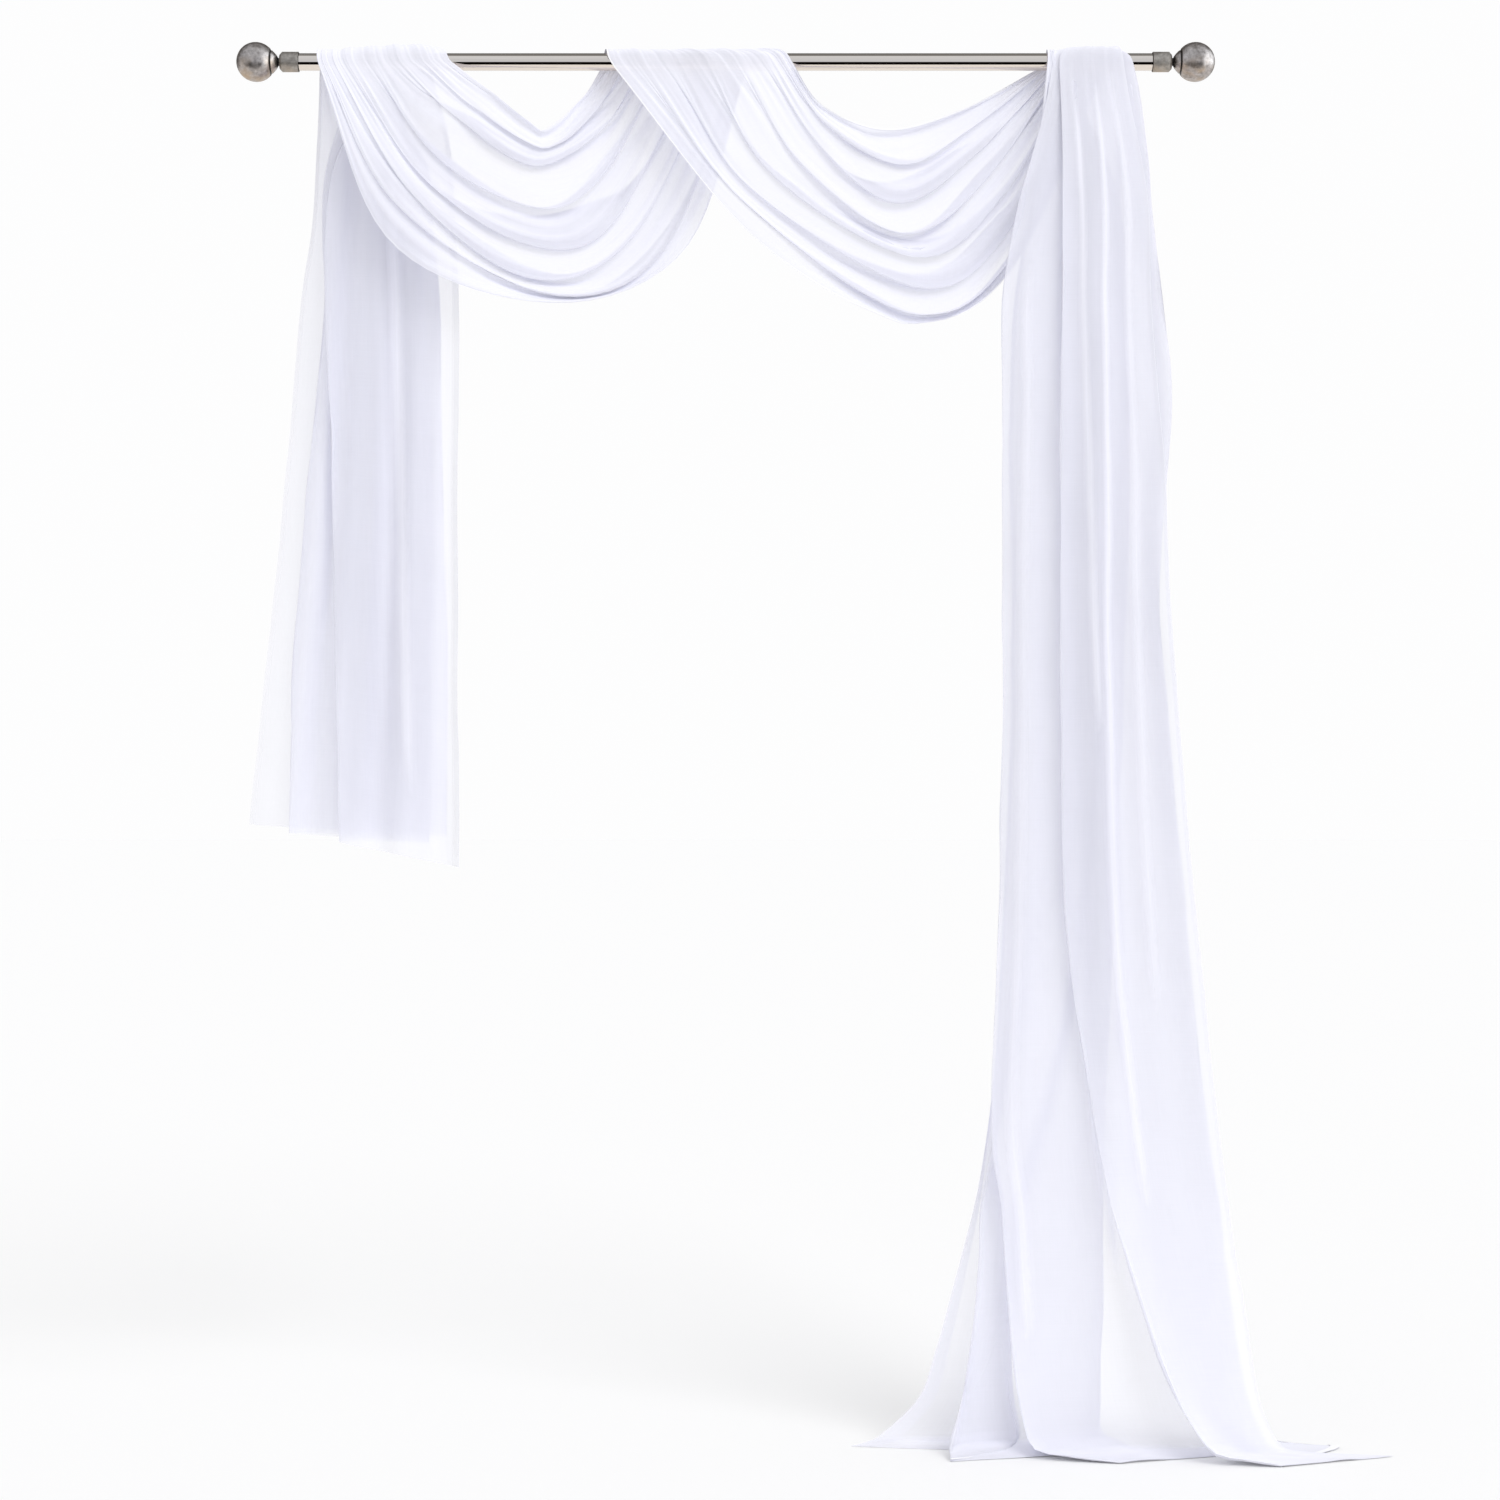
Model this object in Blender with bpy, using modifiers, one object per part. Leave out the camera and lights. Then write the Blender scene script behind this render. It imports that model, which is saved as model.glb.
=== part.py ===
"""Sheer scarf valance, wound three times over a curtain rod with ball finials.

The origin is on the rod's axis, midway between the finials. X runs along the rod to
the right, Y from the front to the wall behind, and Z up. The rod's axis is 2.065 m
above the floor. One scarf makes the whole drape: its left tail hangs behind the rod,
it comes over to the front, swags down and goes up behind the rod again, twice, and
ends as a long right tail in front of the rod, which spreads on the floor.
"""
import math

import bmesh
import bpy
import numpy as np

MM = 0.001

# Rod and its ends
ROD_RADIUS = 0.0127
ROD_SEGMENTS = 48
ROD_LEFT = -0.6395
ROD_RIGHT = 0.6405
CAP_LENGTH = 0.0285
CAP_RADIUS = 0.0150
CAP_CHAMFER = 0.0035
BALL_RADIUS = 0.0293
FINIAL_STEPS = 36
PIECE_GAP = 0.0003
# The finial's shoulder, in mm, from its short neck out to where the ball begins
SHOULDER_COLUMNS = ("height", "radius")
SHOULDER = ((2.1, 5.8), (4.5, 9.8), (8.4, 14.3), (12.8, 18.5))

# Scarf
CLOTH_THICKNESS = 0.0012
WRAP_RADIUS = 0.0184
WRAP_PLEAT = 0.0010
FLOOR = -2.0650
FOLD_COUNT = 7
LINE_COUNT = 2 * FOLD_COUNT
SAMPLES_PER_LINE = 3

# The scarf's width is followed by lines 0 to 14 along its whole length. Line 0 is
# the right edge of both tails, the top edge of swag 1 and the bottom edge of swag 2.
# Even lines run along the ridges of the folds, odd ones along the throats between.

# Swag 1, one row for each ridge from the top edge down, in mm: where it leaves the
# front of the rod, its left shoulder, its lowest point, its right shoulder and where
# it reaches the back of the rod. Drops are measured down from the rod's axis.
SWAG_COLUMNS = (
    "start_x", "left_x", "left_drop", "low_x", "low_drop", "right_x", "right_drop", "end_x",
)
SWAG_1 = (
    (-414, -346, 53, -274, 100, -218, 54, -184),
    (-450, -374, 72, -272, 131, -199, 74, -156),
    (-488, -400, 88, -284, 159, -184, 95, -128),
    (-526, -430, 146, -278, 222, -184, 165, -101),
    (-563, -446, 183, -286, 279, -169, 238, -53),
    (-586, -466, 202, -293, 326, -143, 264, -16),
    (-601, -488, 218, -271, 350, -98, 288, 14),
    (-611, -498, 276, -256, 365, -60, 278, 34),
)
# Swag 2, one row for each ridge from the bottom edge up.
SWAG_2 = (
    (-176, 47, 272, 268, 389, 427, 315, 576),
    (-128, 27, 214, 274, 378, 424, 300, 558),
    (-80, 37, 192, 284, 339, 419, 262, 541),
    (-23, 74, 176, 284, 296, 413, 204, 524),
    (22, 112, 155, 263, 260, 392, 172, 510),
    (64, 141, 128, 255, 214, 378, 134, 498),
    (85, 150, 96, 262, 157, 366, 98, 489),
    (97, 146, 72, 239, 104, 352, 70, 482),
)
SHOULDERS_AT = (0.0, 0.25, 0.5, 0.75, 1.0)

# How each fold between two ridges is tucked: how far its throat is drawn up behind
# the ridge above, in spacings of the ridges, and how deep it is, as a share.
FOLD_COLUMNS = ("tuck", "depth")
SWAG_1_FOLDS = (
    (0.25, 0.45), (0.80, 0.85), (0.95, 1.0), (0.75, 1.0), (1.05, 1.0), (0.85, 0.90), (0.75, 0.70),
)
SWAG_2_FOLDS = (
    (0.80, 0.70), (0.95, 0.90), (1.10, 1.0), (0.80, 1.0), (0.95, 1.0), (0.70, 0.85), (0.25, 0.45),
)

# Along a swag, from its start to its end: the cloth's middle depth behind the rod's
# axis and the depth of its folds, in mm, and the share of each tuck that is drawn up.
ALONG_SWAG = (0.0, 0.12, 0.27, 0.45, 0.62, 0.76, 0.88, 1.0)
MIDDLE_DEPTH = (-18.4, -23.0, -27.0, -16.0, 6.0, 20.0, 21.5, 18.4)
FOLD_DEPTH = (0.4, 1.6, 3.6, 9.0, 9.5, 6.5, 3.5, 0.0)
SWAG_1_TUCKED = (0.0, 0.35, 0.75, 1.0, 1.0, 0.9, 0.5, 0.0)
SWAG_2_TUCKED = (0.0, 0.35, 0.55, 0.9, 1.0, 0.95, 0.6, 0.0)
# How much a tuck grows and shrinks along its fold, as a share of it
TUCK_WANDER = 0.35
# The top edge's sharp dip at its lowest point: mm deep, and its width along the swag
NOTCH_DEPTH = 8.0
NOTCH_WIDTH = 0.035

# Extra height of the gathered cloth over the top of the rod, in mm, by line. Over the
# third wrap it goes by the turns of the right tail, whose layers start there.
WRAP_LINES = (0, 1, 4, 7, 10, 12, 14)
WRAP_1_LIFT = (2.5, 7.0, 9.0, 5.0, 1.5, 1.0, 0.5)
WRAP_2_LIFT = (0.5, 1.0, 0.5, 1.5, 0.5, 1.5, 0.5)
WRAP_3_LIFT = (1.6, 1.4, 0.5, 0.3, 0.3, 0.3, 0.3, 0.3)

# Left tail, in mm: where its ridges lie along X at the back of the rod, the lines where
# the cloth turns back on itself, then a row for each level, with its distance down the
# cloth and where the turns lie along X.
LEFT_TOP_X = (-446, -478, -506, -536, -565, -586, -601, -611)
LEFT_TURNS = (0, 2.33, 4.33, 7, 10, 14)
LEFT_LEVELS = (
    (130, (-412, -590, -470, -603, -457, -625)),
    (222, (-406, -608, -462, -615, -446, -631)),
    (342, (-402, -606, -453, -612, -434, -648)),
    (507, (-402, -602, -443, -626, -431, -663)),
    (657, (-402, -599, -438, -641, -428, -677)),
    (957, (-402, -591, -441, -661, -423, -707)),
    (1165, (-402, -585, -444, -667, -423, -730)),
)
LEFT_LENGTH = 1165
# How far each turn's own hem hangs below the rod, the space between two layers, and
# the drop over which the gathered cloth opens into these layers
LEFT_HEM_DROP = (1209, 1170, 1172, 1158, 1163, 1146)
LEFT_LAYER_GAP = 12.0
LEFT_PLEATS_OPEN = 170.0

# Right tail, in mm: a row for each level, with its drop and where the turns lie along
# X, and a second table with where they lie along Y. Past the last level the cloth lies
# on the floor: those rows hold a height above it, then the turns' X and Y.
RIGHT_TURNS = (0, 3, 5, 9, 11, 12.4, 13.2, 14)
RIGHT_LEVELS = (
    (0, (594, 497, 608, 492, 490, 488, 485, 482)),
    (57, (602, 499, 620, 480, 522, 503, 490, 476)),
    (132, (615, 500, 628, 459, 564, 518, 492, 469)),
    (222, (627, 499, 635, 433, 592, 526, 491, 455)),
    (357, (629, 497, 651, 412, 603, 522, 473, 431)),
    (507, (638, 496, 663, 410, 605, 519, 470, 425)),
    (610, (647, 494, 657, 410, 605, 517, 470, 425)),
    (807, (655, 493, 646, 410, 600, 514, 467, 427)),
    (1032, (673, 496, 663, 410, 594, 508, 464, 425)),
    (1182, (686, 497, 676, 407, 587, 496, 458, 419)),
    (1407, (709, 515, 698, 398, 578, 462, 437, 409)),
    (1557, (725, 539, 714, 392, 572, 421, 415, 397)),
    (1632, (734, 551, 723, 394, 570, 394, 409, 386)),
    (1707, (744, 566, 733, 404, 569, 372, 422, 371)),
    (1782, (754, 588, 743, 409, 568, 366, 431, 351)),
    (1857, (766, 611, 753, 414, 567, 358, 436, 330)),
    (1932, (776, 636, 765, 420, 566, 345, 440, 308)),
    (2007, (791, 672, 783, 430, 564, 327, 449, 275)),
    (2045, (808, 698, 803, 440, 561, 313, 459, 230)),
)
RIGHT_DEPTHS = (
    (0, (-25.5, -24, -21.5, -18.4, -18.4, -18.4, -18.4, -18.4)),
    (57, (-30, -27, -25, -22, -20, -19, -18.5, -18)),
    (132, (-44, -38, -34, -29, -24, -22, -21, -20)),
    (357, (-70, -60, -51, -40, -31, -27, -24, -22)),
    (1407, (-76, -64, -54, -42, -32, -28, -24, -22)),
    (1557, (-78, -72, -56, -50, -28, -36, -22, -24)),
    (1707, (-80, -92, -58, -64, -18, -48, -20, -27)),
    (1857, (-84, -120, -60, -82, -10, -66, -22, -31)),
    (2007, (-105, -160, -62, -116, 2, -100, -26, -40)),
    (2045, (-112, -170, -62, -134, 6, -116, -30, -45)),
)
RIGHT_FLOOR = (
    (8, (858, 757, 848, 500, 585, 310, 440, 207), (-116, -177, -60, -150, -50, -138, -80, -50)),
    (2, (979, 799, 912, 566, 600, 309, 430, 179), (-117, -180, -56, -162, -90, -150, -95, -54)),
)
# How far a turn is rounded on either side of its line, in lines
TURN_ROUNDING = 0.42

# Soft upright waves across each tail: height in mm, waves across, phase.
LEFT_WAVES = ((4.5, 3.3, 0.6), (2.0, 6.1, 2.0))
RIGHT_WAVES = ((4.5, 2.6, 1.2), (2.0, 4.7, 0.3))
# The share of these waves at each drop
WAVE_DROPS = (0, 90, 350, 1500, 1950, 2100)
WAVE_SHARE = (0.0, 0.2, 0.9, 1.0, 0.5, 0.0)

# Rows of the cloth's grid in each stretch
LEFT_ROWS = (1.0, 0.91, 0.79, 0.65, 0.51, 0.37, 0.25, 0.15, 0.08, 0.03)
WRAP_STEPS = 4
SWAG_STEPS = 13
RIGHT_ROWS = (57, 132, 222, 357, 560, 807, 1032, 1220, 1407, 1557, 1707, 1820, 1932, 2007, 2045)


def curve_through(knots, values, at):
    """Smooth cubic curve through values at rising knots."""
    knots = np.asarray(knots, float)
    values = np.asarray(values, float)
    slopes = np.gradient(values, knots, axis=0)
    at = np.clip(at, knots[0], knots[-1])
    span = np.clip(np.searchsorted(knots, at, side="right") - 1, 0, len(knots) - 2)
    width = knots[span + 1] - knots[span]
    f = (at - knots[span]) / width
    start_share = 2 * f**3 - 3 * f**2 + 1
    start_slope = f**3 - 2 * f**2 + f
    end_slope = f**3 - f**2
    return (
        start_share * values[span]
        + (1 - start_share) * values[span + 1]
        + width * (start_slope * slopes[span] + end_slope * slopes[span + 1])
    )


def rounded_path(knots, values, at, rounding):
    """Straight runs between values, with each corner rounded over a share of a line."""
    knots = np.asarray(knots, float)
    values = np.asarray(values, float)
    first = values[0] - (values[1] - values[0]) / (knots[1] - knots[0])
    last = values[-1] + (values[-1] - values[-2]) / (knots[-1] - knots[-2])
    longer_knots = np.concatenate(([knots[0] - 1], knots, [knots[-1] + 1]))
    longer_values = np.concatenate(([first], values, [last]))
    turns = np.diff(np.diff(longer_values) / np.diff(longer_knots))
    longer_values[1:-1] -= rounding / 4 * turns
    shifts = np.linspace(-rounding, rounding, 9)
    return np.mean([np.interp(at + s, longer_knots, longer_values) for s in shifts], axis=0)


def hurried(knots, at):
    """Lines moved so that what follows them changes fastest at the turns."""
    knots = np.asarray(knots, float)
    span = np.clip(np.searchsorted(knots, at, side="right") - 1, 0, len(knots) - 2)
    width = knots[span + 1] - knots[span]
    f = (at - knots[span]) / width
    return knots[span] + width * (f + 0.75 * np.sin(2 * math.pi * f) / (2 * math.pi))


def fold_zigzag(line):
    """0 on each ridge and 1 in each throat, with the number of the fold."""
    fold = np.clip(np.floor(line / 2), 0, FOLD_COUNT - 1).astype(int)
    return np.sin(math.pi * line / 2) ** 2, fold


def swag_points(table, folds, tucked, upward, line, along):
    """Points of a swag, at each of the lines, a share of the way along it."""
    zigzag, fold = fold_zigzag(line)
    shape = dict(zip(FOLD_COLUMNS, np.asarray(folds, float)[fold].T))
    wander = 1 + TUCK_WANDER * np.sin(2 * math.pi * (1.3 * along + 0.37 * fold))
    tuck = shape["tuck"] * wander * curve_through(ALONG_SWAG, tucked, along)
    family = line / 2 + (tuck if upward else -tuck) * zigzag
    ridges = np.arange(FOLD_COUNT + 1)
    row = dict(zip(SWAG_COLUMNS, np.asarray(table, float).T))
    xs = [curve_through(ridges, row[name], family)
          for name in ("start_x", "left_x", "low_x", "right_x", "end_x")]
    drops = [np.zeros_like(family)]
    drops += [curve_through(ridges, row[name], family)
              for name in ("left_drop", "low_drop", "right_drop")]
    drops.append(np.zeros_like(family))
    x = curve_through(SHOULDERS_AT, np.array(xs), along)
    drop = curve_through(SHOULDERS_AT, np.array(drops), along)
    notch = NOTCH_DEPTH * math.exp(-(((along - 0.5) / NOTCH_WIDTH) ** 2))
    drop = drop + notch * np.exp(-np.clip(family, 0, None))
    depth = curve_through(ALONG_SWAG, FOLD_DEPTH, along)
    y = curve_through(ALONG_SWAG, MIDDLE_DEPTH, along) + depth * (2 * shape["depth"] * zigzag - 1)
    return np.stack((x, y, -drop), axis=1) * MM


def wrap_points(back, front, lift, line, turn):
    """Points of the cloth over the rod: turn is 0 at its back, 1 at its front."""
    angle = math.pi * turn
    share = (1 - math.cos(angle)) / 2
    zigzag, _ = fold_zigzag(line)
    radius = WRAP_RADIUS + (-front[:, 1] - WRAP_RADIUS) * share + lift * MM * math.sin(angle)
    radius = radius + WRAP_PLEAT * share * (1 - 2 * zigzag)
    x = back[:, 0] + (front[:, 0] - back[:, 0]) * share
    return np.stack((x, radius * math.cos(angle), radius * math.sin(angle)), axis=1)


def waves(rows, across, drop):
    """Depth of the soft waves at a share of the way across a tail."""
    depth = sum(h * np.sin(2 * math.pi * n * across + p + 0.0006 * drop) for h, n, p in rows)
    return depth * curve_through(WAVE_DROPS, WAVE_SHARE, drop)


def left_tail_points(line, down):
    """Points of the left tail, behind the rod: down is 0 at the rod, 1 at the hem."""
    drop = down * rounded_path(LEFT_TURNS, LEFT_HEM_DROP, line, TURN_ROUNDING)
    top_x = curve_through(np.arange(FOLD_COUNT + 1), LEFT_TOP_X, line / 2)
    level_x = [rounded_path(LEFT_TURNS, row[1], line, TURN_ROUNDING) for row in LEFT_LEVELS]
    levels = [0] + [row[0] for row in LEFT_LEVELS]
    x = curve_through(levels, np.array([top_x] + level_x), down * LEFT_LENGTH)
    across = (x - x.min()) / (x.max() - x.min())
    opened = np.clip(drop / LEFT_PLEATS_OPEN, 0, 1)
    opened = opened * opened * (3 - 2 * opened)
    layer = rounded_path(LEFT_TURNS, np.arange(len(LEFT_TURNS)), hurried(LEFT_TURNS, line), 0.1)
    y = WRAP_RADIUS / MM + LEFT_LAYER_GAP * layer * np.sqrt(opened)
    y = y + waves(LEFT_WAVES, across, drop) + 4.0 * opened
    return np.stack((x, y, -drop), axis=1) * MM


def right_tail_points(line, drop):
    """Points of the right tail at a level above the floor."""
    levels = [row[0] for row in RIGHT_LEVELS]
    turn_x = curve_through(levels, [row[1] for row in RIGHT_LEVELS], drop)
    depth_levels = [row[0] for row in RIGHT_DEPTHS]
    turn_y = curve_through(depth_levels, [row[1] for row in RIGHT_DEPTHS], drop)
    x = rounded_path(RIGHT_TURNS, turn_x, line, TURN_ROUNDING)
    y = rounded_path(RIGHT_TURNS, turn_y, hurried(RIGHT_TURNS, line), 0.1)
    across = (x - turn_x.min()) / (turn_x.max() - turn_x.min())
    y = y + waves(RIGHT_WAVES, across, drop)
    return np.stack((x, y, np.full_like(x, -drop)), axis=1) * MM


def floor_points(line, row):
    """Points of the right tail where it lies on the floor."""
    height, turn_x, turn_y = row
    x = rounded_path(RIGHT_TURNS, turn_x, line, TURN_ROUNDING)
    y = rounded_path(RIGHT_TURNS, turn_y, line, 0.3)
    return np.stack((x, y, np.full_like(x, FLOOR / MM + height)), axis=1) * MM


def scarf_rows():
    """The cloth's middle surface, row by row from the left hem to the right hem."""
    line = np.linspace(0, LINE_COUNT, LINE_COUNT * SAMPLES_PER_LINE + 1)
    rows = [left_tail_points(line, down) for down in LEFT_ROWS]
    turns = np.linspace(0, 1, WRAP_STEPS + 1)
    along = np.linspace(0, 1, SWAG_STEPS + 1)
    swag_1 = [swag_points(SWAG_1, SWAG_1_FOLDS, SWAG_1_TUCKED, False, line, a) for a in along]
    swag_2 = [swag_points(SWAG_2, SWAG_2_FOLDS, SWAG_2_TUCKED, True, line, a) for a in along]
    left_top = left_tail_points(line, 0)
    right_top = right_tail_points(line, 0)
    lift_1 = curve_through(WRAP_LINES, WRAP_1_LIFT, line)
    lift_2 = curve_through(WRAP_LINES, WRAP_2_LIFT, line)
    lift_3 = rounded_path(RIGHT_TURNS, WRAP_3_LIFT, hurried(RIGHT_TURNS, line), 0.1)
    rows += [wrap_points(left_top, swag_1[0], lift_1, line, t) for t in turns]
    rows += swag_1[1:-1]
    rows += [wrap_points(swag_1[-1], swag_2[0], lift_2, line, t) for t in turns]
    rows += swag_2[1:-1]
    rows += [wrap_points(swag_2[-1], right_top, lift_3, line, t) for t in turns]
    rows += [right_tail_points(line, drop) for drop in RIGHT_ROWS]
    rows += [floor_points(line, row) for row in RIGHT_FLOOR]
    return np.array(rows)


def clear_scene():
    for thing in list(bpy.data.objects):
        bpy.data.objects.remove(thing, do_unlink=True)


def make_collection(name):
    group = bpy.data.collections.new(name)
    bpy.context.scene.collection.children.link(group)
    return group


def make_material(name, colour, roughness, metallic):
    material = bpy.data.materials.new(name)
    material.use_nodes = True
    shader = material.node_tree.nodes["Principled BSDF"]
    shader.inputs["Base Color"].default_value = (*colour, 1.0)
    shader.inputs["Roughness"].default_value = roughness
    shader.inputs["Metallic"].default_value = metallic
    return material


def make_object(name, mesh, material, group):
    piece = bpy.data.objects.new(name, mesh)
    mesh.materials.append(material)
    group.objects.link(piece)
    return piece


def make_scarf(group):
    """The scarf: a grid bent to the drape and thickened to cloth."""
    points = scarf_rows()
    row_count, column_count = points.shape[:2]
    grid = bmesh.new()
    bmesh.ops.create_grid(grid, x_segments=row_count - 1, y_segments=column_count - 1, size=1.0)
    for corner in grid.verts:
        row = round((corner.co.x + 1) / 2 * (row_count - 1))
        column = round((corner.co.y + 1) / 2 * (column_count - 1))
        corner.co = points[row, column]
    mesh = bpy.data.meshes.new("scarf")
    grid.to_mesh(mesh)
    grid.free()
    voile = make_material("white_voile", (0.93, 0.93, 0.96), 0.8, 0.0)
    scarf = make_object("scarf", mesh, voile, group)
    thicken = scarf.modifiers.new("cloth thickness", "SOLIDIFY")
    thicken.thickness = CLOTH_THICKNESS
    thicken.offset = 0.0
    mesh.shade_smooth()
    return scarf


def make_rod(group):
    """The straight rod between the end caps."""
    length = ROD_RIGHT - ROD_LEFT - 2 * PIECE_GAP
    bar = bmesh.new()
    bmesh.ops.create_cone(
        bar, cap_ends=True, segments=ROD_SEGMENTS, radius1=ROD_RADIUS, radius2=ROD_RADIUS, depth=length
    )
    mesh = bpy.data.meshes.new("rod")
    bar.to_mesh(mesh)
    bar.free()
    nickel = make_material("brushed_nickel", (0.62, 0.60, 0.57), 0.28, 1.0)
    rod = make_object("rod", mesh, nickel, group)
    rod.location.x = (ROD_LEFT + ROD_RIGHT) / 2
    rod.rotation_euler.y = math.pi / 2
    mesh.shade_smooth()
    mesh.set_sharp_from_angle(angle=math.radians(40))
    return rod


def turned(name, profile, material, group):
    """A piece turned about its own Z axis, from a profile that runs down its side."""
    outline = bmesh.new()
    corners = [outline.verts.new((radius, 0.0, height)) for radius, height in profile]
    for upper, lower in zip(corners, corners[1:]):
        outline.edges.new((upper, lower))
    mesh = bpy.data.meshes.new(name)
    outline.to_mesh(mesh)
    outline.free()
    piece = make_object(name, mesh, material, group)
    screw = piece.modifiers.new("turn", "SCREW")
    screw.axis = "Z"
    screw.steps = FINIAL_STEPS
    screw.render_steps = FINIAL_STEPS
    screw.use_merge_vertices = True
    screw.merge_threshold = 0.00005
    return piece


def cap_profile():
    """End cap, from its outer face at the top down to the face against the rod."""
    return (
        (0.0, CAP_LENGTH),
        (CAP_RADIUS - CAP_CHAMFER, CAP_LENGTH),
        (CAP_RADIUS, CAP_LENGTH - CAP_CHAMFER),
        (CAP_RADIUS, 0.0),
        (0.0, 0.0),
    )


def finial_profile():
    """Finial: ball on top, then its shoulder and a short neck down to the cap."""
    column = dict(zip(SHOULDER_COLUMNS, np.asarray(SHOULDER, float).T * MM))
    shoulder = list(zip(column["radius"], column["height"]))
    start_radius, start_height = shoulder[-1]
    centre = start_height + math.sqrt(BALL_RADIUS**2 - start_radius**2)
    last_angle = math.pi - math.asin(start_radius / BALL_RADIUS)
    arc = np.linspace(0, last_angle, 17)
    ball = [(BALL_RADIUS * math.sin(a), centre + BALL_RADIUS * math.cos(a)) for a in arc]
    neck_radius = shoulder[0][0]
    return ball + shoulder[-2::-1] + [(neck_radius, 0.0), (0.0, 0.0)]


def make_end(side, group, pewter):
    """The end cap and finial of one side: side is -1 on the left and 1 on the right."""
    word = "left" if side < 0 else "right"
    rod_end = ROD_LEFT if side < 0 else ROD_RIGHT
    cap = turned(f"end_cap_{word}", cap_profile(), pewter, group)
    finial = turned(f"finial_{word}", finial_profile(), pewter, group)
    for piece, distance in ((cap, 0.0), (finial, CAP_LENGTH + PIECE_GAP)):
        piece.rotation_euler.y = side * math.pi / 2
        piece.location.x = rod_end + side * distance


def main():
    clear_scene()
    group = make_collection("scarf_valance")
    make_scarf(group)
    make_rod(group)
    pewter = make_material("antique_pewter", (0.33, 0.31, 0.28), 0.42, 0.9)
    for side in (-1, 1):
        make_end(side, group, pewter)


main()
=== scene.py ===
"""Looks of a sheer scarf valance, wound three times over a curtain rod."""
import math

import bpy
import numpy as np
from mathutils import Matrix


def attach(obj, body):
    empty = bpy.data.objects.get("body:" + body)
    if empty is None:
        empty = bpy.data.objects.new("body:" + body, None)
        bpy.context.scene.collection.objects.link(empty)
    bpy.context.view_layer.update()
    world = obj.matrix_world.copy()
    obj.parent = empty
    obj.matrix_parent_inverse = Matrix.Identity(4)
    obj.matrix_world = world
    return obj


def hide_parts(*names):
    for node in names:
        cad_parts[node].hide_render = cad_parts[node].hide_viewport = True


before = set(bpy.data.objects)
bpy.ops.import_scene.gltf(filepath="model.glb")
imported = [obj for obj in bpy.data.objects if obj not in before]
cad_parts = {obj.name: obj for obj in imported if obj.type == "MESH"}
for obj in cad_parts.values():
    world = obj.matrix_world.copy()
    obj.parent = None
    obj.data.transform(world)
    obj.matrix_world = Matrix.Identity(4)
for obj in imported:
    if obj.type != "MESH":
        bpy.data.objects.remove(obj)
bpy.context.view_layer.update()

MM = 0.001

# Camera: level, at the height from which the photo was taken
CAMERA_PLACE = (0.037, -4.5, -1.032)
VIEW_WIDTH = 2.25
SENSOR_WIDTH = 36.0

# Rod and its ends, in metres, as in the model's own source
ROD_RADIUS = 0.0127
ROD_LEFT = -0.6395
ROD_RIGHT = 0.6405
CAP_LENGTH = 0.0285
CAP_RADIUS = 0.0150
CAP_CHAMFER = 0.0035
SHOULDER_COLUMNS = ("height", "radius")
SHOULDER = ((2.1, 5.8), (4.5, 9.8), (8.4, 14.3), (12.8, 18.5))
BALL_RADIUS = 0.0293
PIECE_GAP = 0.0003
# Ring cut round the ball at its shoulder: its depth and half width
RING_DEPTH = 0.0015
RING_WIDTH = 0.0010
# Painted shade, dark in the neck of each finial: where it ends, over how far it fades, and its
# colour
PAINTED_SHADE_END = 0.0052
PAINTED_SHADE_FADE = 0.0030
PAINTED_SHADE_COLOUR = (0.025, 0.022, 0.020, 1.0)
# Painted reflection of a warm floor, in patches on the pewter's underside: the range that
# their noise is moved to, and the heights from the rod's axis between which they come in
REFLECTION_PATCH_RANGE = (-1.5, 2.3)
WARM_REFLECTION_UNDER = (0.006, -0.018)
# Pewter of the caps and of the balls: dark and light grey, the warm colour of the painted floor
# reflection, roughness
CAP_PEWTER = ((0.24, 0.215, 0.19), (0.52, 0.48, 0.43), (0.46, 0.37, 0.28), 0.50)
BALL_PEWTER = ((0.22, 0.195, 0.18), (0.60, 0.55, 0.52), (0.46, 0.34, 0.23), 0.32)
# Nickel of the rod: its darker and its lighter drawing lines, and their roughness
NICKEL_LINES = ((0.3, (0.76, 0.68, 0.60)), (0.7, (0.82, 0.74, 0.66)))
NICKEL_STRETCH = (4.0, 900.0, 900.0)
NICKEL_ROUGHNESS = (0.03, 0.07)
# Cap: how far inside the rod's radius its first ring lies, where the painted shade at its
# edge has faded, and the radius of its last ring
CAP_LAP = 0.002
CAP_SHADE_GONE = 0.0035
CAP_EYE = 0.004
# Softened edges of the turned pieces, the steps round them and those along a finial
EDGE = 0.0006
TURN_STEPS = 96
SHOULDER_STEPS = 24
BALL_STEPS = 96
# How far a ball's last ring lies short of its tip, as an angle
BALL_TIP = 0.01
# Edges sharper than this many degrees aren't shaded smooth
SHARP_ANGLE = 35

# Scarf, as in the model's own source: sizes in metres, tables in mm
WRAP_RADIUS = 0.0184
WRAP_PLEAT = 0.0010
FLOOR = -2.0650
FOLD_COUNT = 7
LINE_COUNT = 2 * FOLD_COUNT
FLAT_WIDTH = 1.05
HEM_WIDTH = 0.008

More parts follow.
